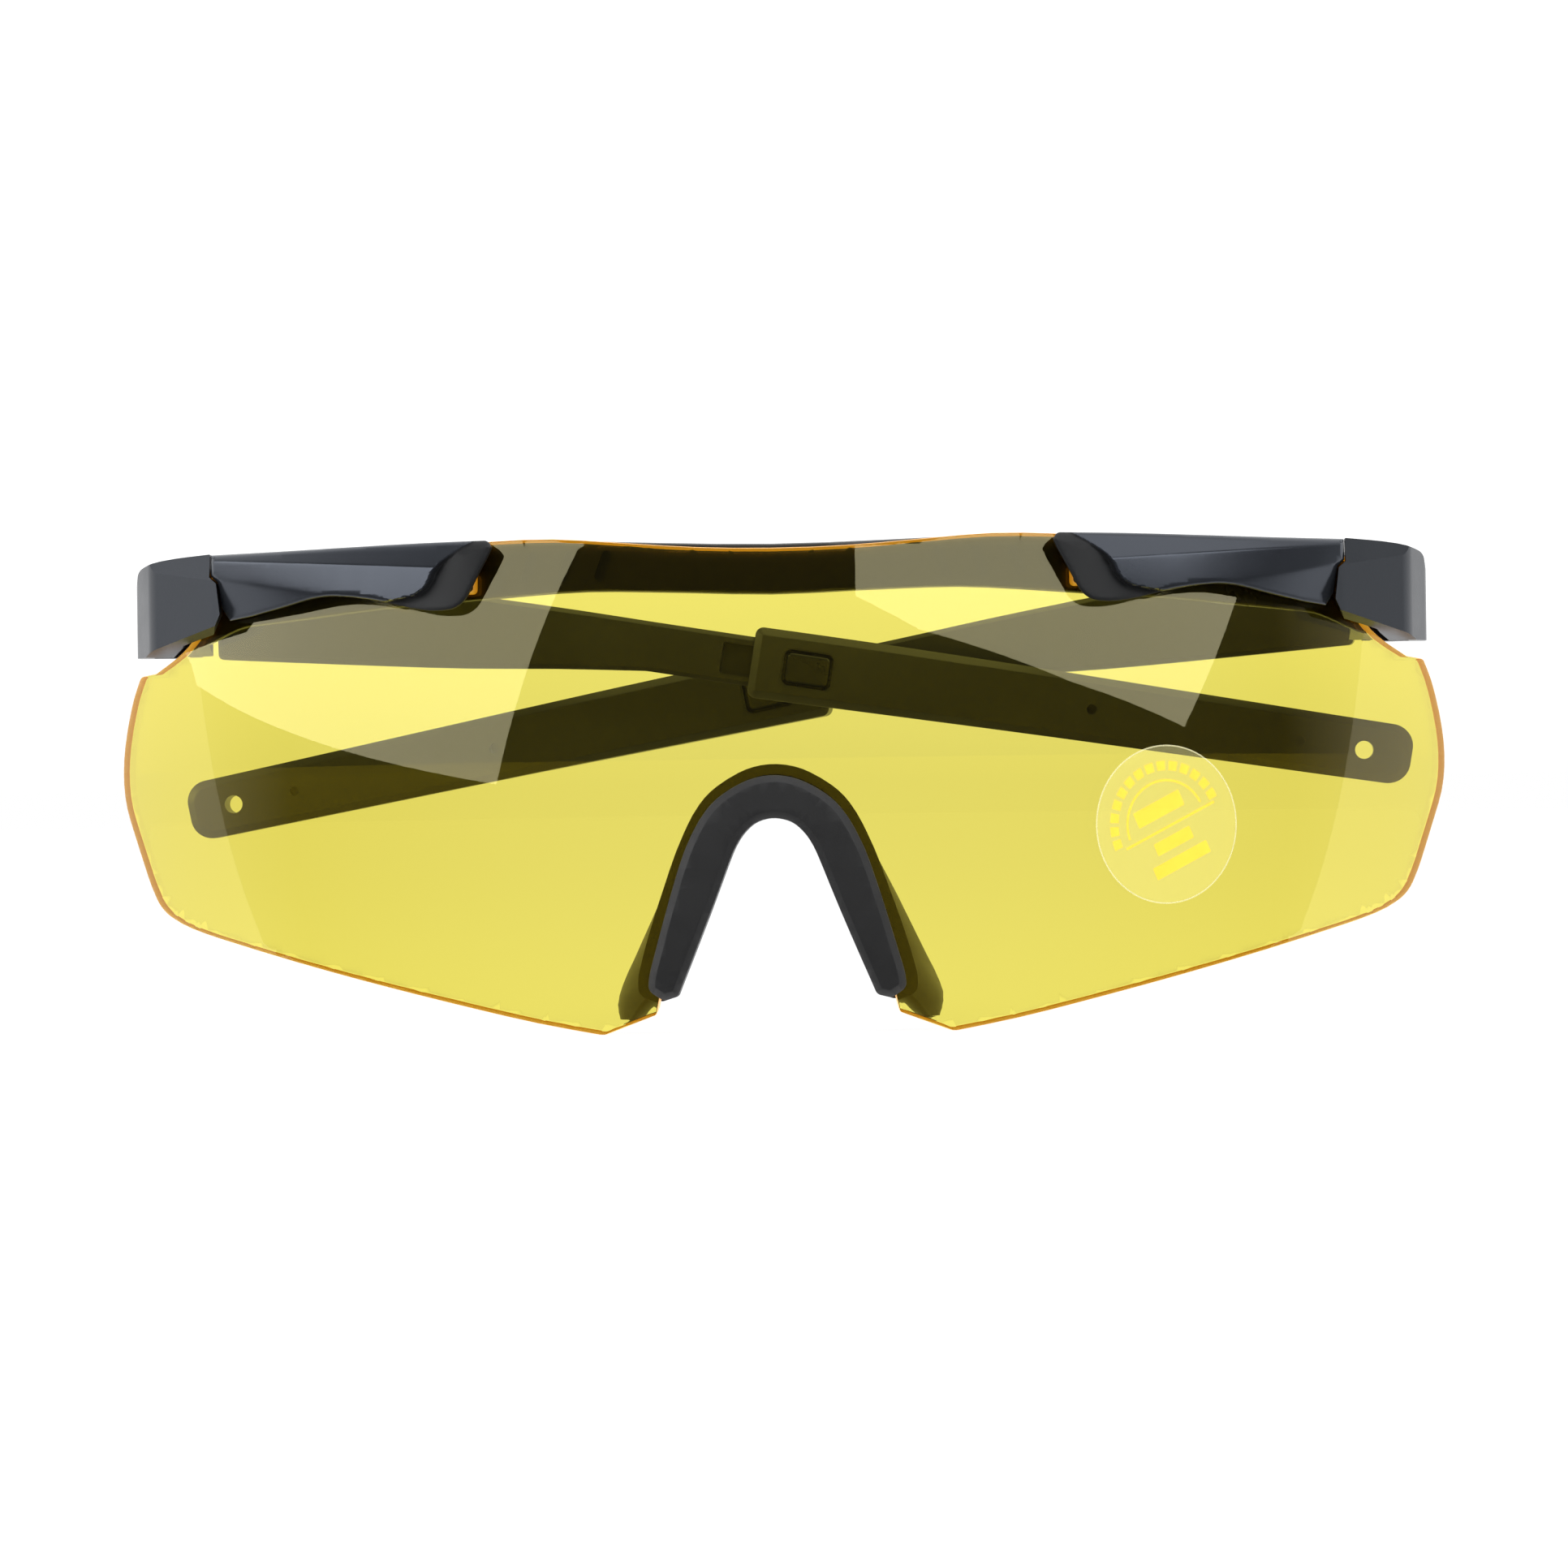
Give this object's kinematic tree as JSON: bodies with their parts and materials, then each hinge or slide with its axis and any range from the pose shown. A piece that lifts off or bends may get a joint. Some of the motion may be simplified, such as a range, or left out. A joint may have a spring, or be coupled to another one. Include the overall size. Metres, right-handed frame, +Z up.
{
  "type": "safety glasses",
  "caption": "Wrap-around safety glasses: a one-piece tinted shield lens, black brow frame with lens clips, soft nose piece, and folding arms with push-button length adjustment.",
  "frame": {"origin": "centre of the bounding box in X and Y, on its lowest point in Z", "axes": "+X along the width toward the right as seen from the front, -Y out of the front of the lens, +Z up as worn"},
  "size_m": [0.1466, 0.0576, 0.0536],
  "materials": {
    "lens": "clear tinted polycarbonate, polished",
    "frame_nylon": "satin moulded black nylon",
    "arm_nylon": "satin moulded black nylon",
    "tip_nylon": "fine-grained black nylon",
    "button_nylon": "smooth black nylon",
    "nose_rubber": "matte soft black rubber",
    "steel": "plain steel"
  },
  "bodies": {
    "front": {"brow_frame": "frame_nylon", "lens": "lens", "lens_clip_left": "frame_nylon", "lens_clip_right": "frame_nylon", "nose_bridge": "nose_rubber", "nose_pad_left": "nose_rubber", "nose_pad_right": "nose_rubber", "hinge_pin_left": "steel", "hinge_pin_right": "steel"},
    "arm_left": {"arm_left": "arm_nylon"},
    "arm_right": {"arm_right": "arm_nylon"},
    "tip_left": {"tip_left": "tip_nylon", "button_spring_left": "steel"},
    "tip_right": {"tip_right": "tip_nylon", "button_spring_right": "steel"},
    "button_left": {"length_button_left": "button_nylon"},
    "button_right": {"length_button_right": "button_nylon"}
  },
  "joints": [
    {"name": "hinge_left", "type": "hinge", "parent": "front", "child": "arm_left", "pos_m": [-0.066, 0.01022, 0.05107], "axis": [-0.0166, 0, 0.9999], "range_deg": [0, 91]},
    {"name": "hinge_right", "type": "hinge", "parent": "front", "child": "arm_right", "pos_m": [0.066, 0.01022, 0.05107], "axis": [0.0166, 0, -0.9999], "range_deg": [0, 84]},
    {"name": "length_left", "type": "slide", "parent": "arm_left", "child": "tip_left", "axis": [0.9866, -0.0172, -0.1625], "range_m": [-0.006, 0]},
    {"name": "length_right", "type": "slide", "parent": "arm_right", "child": "tip_right", "axis": [-0.9754, 0.1028, -0.195], "range_m": [-0.006, 0]},
    {"name": "press_left", "type": "slide", "parent": "tip_left", "child": "button_left", "axis": [0.0174, 0.9998, 0.0003], "range_m": [0, 0.0005], "stiffness_N_per_m": 600, "springref_m": -0.0005, "deforming": ["button_spring_left"]},
    {"name": "press_right", "type": "slide", "parent": "tip_right", "child": "button_right", "axis": [0.1045, 0.9945, 0.0017], "range_m": [0, 0.0005], "stiffness_N_per_m": 600, "springref_m": -0.0005, "deforming": ["button_spring_right"]}
  ]
}
